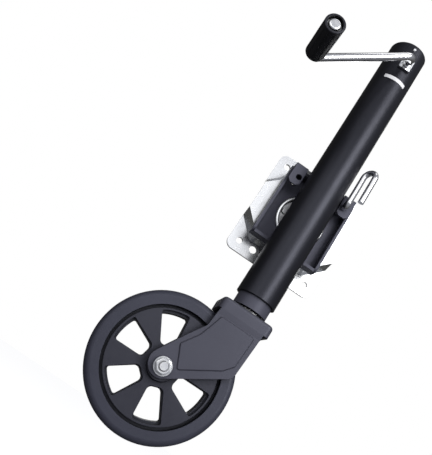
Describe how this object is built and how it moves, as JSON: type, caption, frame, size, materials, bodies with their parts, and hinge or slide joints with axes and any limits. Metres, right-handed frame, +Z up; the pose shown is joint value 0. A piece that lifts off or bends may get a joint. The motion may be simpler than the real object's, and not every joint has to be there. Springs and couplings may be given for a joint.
{
  "type": "swing-away trailer tongue jack",
  "caption": "Side-wind trailer tongue jack with a caster wheel, on a bolt-on plate that lets it swing up and lock with a sprung pin.",
  "frame": {"origin": "centre of the four bolt holes on the mounting plate's back face, the face that lies on the trailer rail", "axes": "+Z up the jack tube towards the cap, +Y out of the plate's back face towards the trailer rail, +X to the right seen from the crank side; the wheel trails towards -X"},
  "size_m": [0.238, 0.214, 0.732],
  "materials": {
    "black_paint": "semi-gloss black powder coat",
    "grey_paint": "semi-gloss dark grey powder coat",
    "zinc": "bright zinc plate",
    "bare_steel": "machined and greased",
    "grip_rubber": "matte fluted",
    "label": "plain silver-white sticker",
    "nylon": "natural nylon",
    "wheel_plastic": "moulded dark grey",
    "tyre_poly": "smooth dark grey poly tread"
  },
  "bodies": {
    "bracket": {"mounting_plate": "zinc", "swivel_retainer": "zinc", "retainer_rivets": "zinc"},
    "jack": {"swivel_channel": "black_paint", "upper_saddle": "black_paint", "lower_saddle": "black_paint", "outer_tube": "black_paint", "label_band": "label", "top_cap": "black_paint", "cap_rivets": "zinc", "front_bearing": "zinc", "rear_bearing": "zinc", "bearing_seat": "bare_steel", "thrust_race_lower": "bare_steel", "thrust_balls": "bare_steel", "guide_ring": "nylon"},
    "crank": {"crank_rod": "zinc", "drive_pinion": "bare_steel", "pinion_pin": "bare_steel", "shaft_clip": "zinc", "grip_retainer": "zinc"},
    "grip": {"crank_grip": "grip_rubber"},
    "screw": {"lead_screw": "bare_steel", "bevel_gear": "bare_steel", "gear_pin": "bare_steel", "thrust_race_upper": "bare_steel"},
    "leg": {"inner_tube": "black_paint", "slide_band": "nylon", "drive_nut": "bare_steel", "nut_pins": "bare_steel", "kingpin_plug": "bare_steel", "kingpin": "bare_steel", "swivel_race_upper": "bare_steel", "kingpin_washer": "zinc", "kingpin_nut": "zinc"},
    "fork": {"fork": "grey_paint", "swivel_race_lower": "bare_steel", "swivel_balls": "bare_steel", "axle_bolt": "zinc", "axle_nut": "zinc", "axle_washers": "zinc", "axle_sleeve": "bare_steel"},
    "wheel": {"wheel_core": "wheel_plastic", "tyre": "tyre_poly", "hub_bushes": "nylon"},
    "lock_pin": {"lock_pin": "zinc", "pin_collar": "zinc", "lock_spring": "bare_steel"}
  },
  "joints": [
    {"name": "swing", "type": "hinge", "parent": "bracket", "child": "jack", "pos_m": [0, -0.024, 0], "axis": [0, 1, 0], "range_deg": [0, 90]},
    {"name": "lock_pin_slide", "type": "slide", "parent": "jack", "child": "lock_pin", "axis": [0, 1, 0], "range_m": [0, 0.007], "stiffness_N_per_m": 900, "springref_m": 0.016, "deforming": ["lock_spring"]},
    {"name": "crank_turn", "type": "hinge", "parent": "jack", "child": "crank", "pos_m": [0, -0.061, 0.292], "axis": [0, -1, 0], "range_deg": [0, 14400]},
    {"name": "screw_turn", "type": "hinge", "parent": "jack", "child": "screw", "pos_m": [0, -0.061, 0.292], "axis": [0, 0, 1], "range_deg": [0, 14400]},
    {"name": "leg_slide", "type": "slide", "parent": "jack", "child": "leg", "axis": [0, 0, -1], "range_m": [0, 0.254]},
    {"name": "grip_spin", "type": "hinge", "parent": "crank", "child": "grip", "pos_m": [-0.128, -0.176, 0.181], "axis": [0, 1, 0], "continuous": true},
    {"name": "fork_swivel", "type": "hinge", "parent": "leg", "child": "fork", "pos_m": [0, -0.061, -0.17], "axis": [0, 0, 1], "continuous": true},
    {"name": "wheel_spin", "type": "hinge", "parent": "fork", "child": "wheel", "pos_m": [-0.061, -0.061, -0.296], "axis": [0, 1, 0], "continuous": true}
  ],
  "couplings": [
    {"joint": "screw_turn", "follows": "crank_turn", "ratio": 1},
    {"joint": "leg_slide", "follows": "crank_turn", "m_per_rad": 0.0010106}
  ]
}
